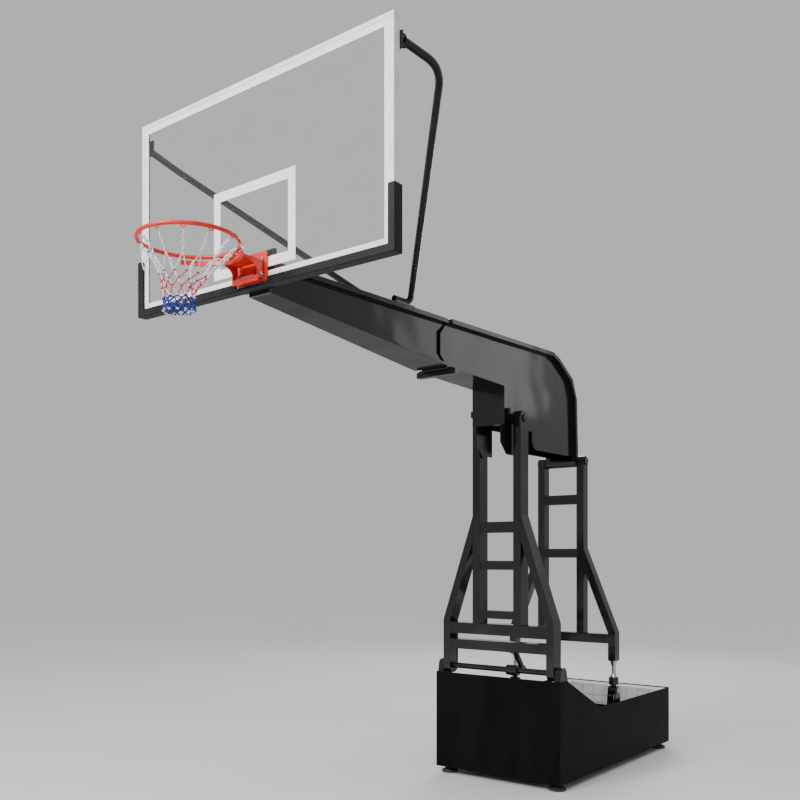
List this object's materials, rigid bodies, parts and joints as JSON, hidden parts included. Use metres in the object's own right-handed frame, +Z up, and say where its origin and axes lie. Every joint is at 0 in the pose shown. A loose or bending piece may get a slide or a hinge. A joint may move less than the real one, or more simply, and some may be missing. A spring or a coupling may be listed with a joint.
{
  "type": "portable basketball hoop",
  "caption": "Wheeled ballast base with two folding ladder frames, a level goose-necked box arm, glass backboard and breakaway rim with net.",
  "frame": {"origin": "centre of the footprint on the floor, under the middle of the stand's overall length and width", "axes": "+X across the stand, to the right for a player facing the board; +Y from the board back towards the base; +Z up"},
  "size_m": [1.9, 4.7926, 3.975],
  "materials": {
    "black_paint": "gloss",
    "steel": "zinc plated",
    "white_frame": "satin white powder coat",
    "board_glass": "clear toughened",
    "pad_foam": "matte skinned foam",
    "rim_orange": "semi-gloss",
    "net_cord": "braided cord",
    "concrete": "cast, pale",
    "rubber": "matte"
  },
  "bodies": {
    "base": {"base_front_panel": "black_paint", "base_side_left": "black_paint", "base_side_right": "black_paint", "base_rear_wall": "black_paint", "base_floor_pan": "black_paint", "base_cross_beam": "black_paint", "wheel_carrier_front": "black_paint", "wheel_carrier_rear": "black_paint", "front_pivot_block_left": "black_paint", "front_pivot_block_right": "black_paint", "front_pivot_shaft": "black_paint", "rear_clevis_pin_left": "steel", "rear_clevis_pin_right": "steel", "ballast_low_left": "concrete", "ballast_low_right": "concrete", "ballast_row_left": "concrete", "ballast_row_right": "concrete"},
    "front_ladder": {"front_post_left": "black_paint", "front_post_right": "black_paint", "front_leg_left": "black_paint", "front_leg_right": "black_paint", "front_rung_1": "black_paint", "front_rung_2": "black_paint", "front_rung_3": "black_paint", "front_crossbar_1": "black_paint", "front_crossbar_2": "black_paint", "front_lever": "black_paint"},
    "rear_ladder": {"rear_post_left": "black_paint", "rear_post_right": "black_paint", "rear_leg_left": "black_paint", "rear_leg_right": "black_paint", "rear_adjuster_left": "steel", "rear_adjuster_right": "steel", "rear_rung_1": "black_paint", "rear_rung_2": "black_paint", "rear_crossbar": "black_paint"},
    "arm": {"arm_goose_neck": "black_paint", "arm_front_section": "black_paint", "arm_front_pin": "black_paint", "arm_rear_pin": "black_paint", "board_mount_plate": "black_paint", "board_frame": "white_frame", "board_glass": "board_glass", "board_pad": "pad_foam", "board_brace_left": "black_paint", "board_brace_right": "black_paint", "rim_back_plate": "rim_orange", "rim_hinge_pin": "steel"},
    "rim": {"rim_carrier": "rim_orange", "rim_ring": "rim_orange", "rim_brace": "rim_orange", "net": "net_cord"},
    "wheel_front_left": {"wheel_front_left": "rubber"},
    "wheel_front_right": {"wheel_front_right": "rubber"},
    "wheel_rear_left": {"wheel_rear_left": "rubber"},
    "wheel_rear_right": {"wheel_rear_right": "rubber"},
    "levelling_foot_front_left": {"levelling_foot_front_left": "rubber"},
    "levelling_foot_front_right": {"levelling_foot_front_right": "rubber"},
    "levelling_foot_rear_left": {"levelling_foot_rear_left": "rubber"},
    "levelling_foot_rear_right": {"levelling_foot_rear_right": "rubber"}
  },
  "joints": [
    {"name": "fold", "type": "hinge", "parent": "base", "child": "front_ladder", "pos_m": [0, 0.574, 0.785], "axis": [-1, 0, 0], "range_deg": [0, 55]},
    {"name": "arm_level", "type": "hinge", "parent": "front_ladder", "child": "arm", "pos_m": [0, 0.574, 2.53], "axis": [1, 0, 0], "range_deg": [0, 55]},
    {"name": "rear_fold", "type": "hinge", "parent": "base", "child": "rear_ladder", "pos_m": [0, 1.496, 0.565], "axis": [-1, 0, 0], "range_deg": [0, 55]},
    {"name": "rim_break", "type": "hinge", "parent": "arm", "child": "rim", "pos_m": [0, -1.786, 2.962], "axis": [1, 0, 0], "range_deg": [0, 25], "stiffness_Nm_per_rad": 1000, "springref_deg": -28.65},
    {"name": "wheel_front_left_spin", "type": "hinge", "parent": "base", "child": "wheel_front_left", "pos_m": [-0.33, 0.716, 0.0505], "axis": [1, 0, 0], "continuous": true},
    {"name": "wheel_front_right_spin", "type": "hinge", "parent": "base", "child": "wheel_front_right", "pos_m": [0.33, 0.716, 0.0505], "axis": [1, 0, 0], "continuous": true},
    {"name": "wheel_rear_left_spin", "type": "hinge", "parent": "base", "child": "wheel_rear_left", "pos_m": [-0.33, 2.206, 0.0505], "axis": [1, 0, 0], "continuous": true},
    {"name": "wheel_rear_right_spin", "type": "hinge", "parent": "base", "child": "wheel_rear_right", "pos_m": [0.33, 2.206, 0.0505], "axis": [1, 0, 0], "continuous": true},
    {"name": "levelling_foot_front_left_screw", "type": "slide", "parent": "base", "child": "levelling_foot_front_left", "axis": [0, 0, -1], "range_m": [0, 0.03]},
    {"name": "levelling_foot_front_right_screw", "type": "slide", "parent": "base", "child": "levelling_foot_front_right", "axis": [0, 0, -1], "range_m": [0, 0.03]},
    {"name": "levelling_foot_rear_left_screw", "type": "slide", "parent": "base", "child": "levelling_foot_rear_left", "axis": [0, 0, -1], "range_m": [0, 0.03]},
    {"name": "levelling_foot_rear_right_screw", "type": "slide", "parent": "base", "child": "levelling_foot_rear_right", "axis": [0, 0, -1], "range_m": [0, 0.03]}
  ],
  "couplings": [
    {"joint": "arm_level", "follows": "fold", "ratio": 1},
    {"joint": "rear_fold", "follows": "fold", "ratio": 1}
  ]
}
